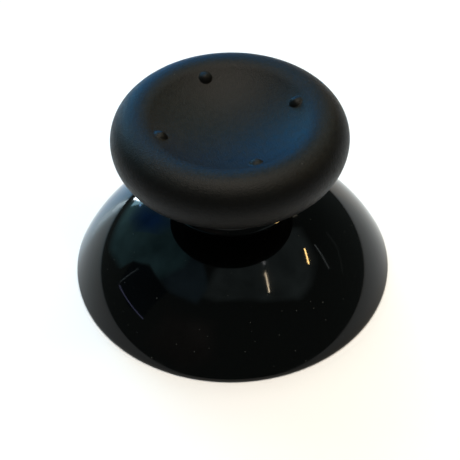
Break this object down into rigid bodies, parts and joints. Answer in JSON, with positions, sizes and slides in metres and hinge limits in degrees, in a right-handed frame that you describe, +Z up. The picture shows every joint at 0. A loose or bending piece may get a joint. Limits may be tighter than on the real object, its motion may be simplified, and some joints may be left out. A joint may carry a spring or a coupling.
{
  "type": "thumb stick cap",
  "caption": "Clip-on cap for a thumb-operated control stick: a domed skirt on an open rim, a neck and a dished rubber grip with raised dots.",
  "frame": {"origin": "centre of the skirt's open rim, in the plane that it rests on", "axes": "+Z up the axis of the stick, out through the thumb dish; X and Y run through the raised dots, and the socket's flats face +Y and -Y"},
  "size_m": [0.028, 0.028, 0.0167],
  "materials": {
    "stick_plastic": "moulded black hard plastic, polished, with fine scratches and dust",
    "grip_rubber": "moulded black soft rubber, matt with a fine grain"
  },
  "bodies": {
    "root": {"stick_body": "stick_plastic", "thumb_grip": "grip_rubber"}
  },
  "joints": []
}
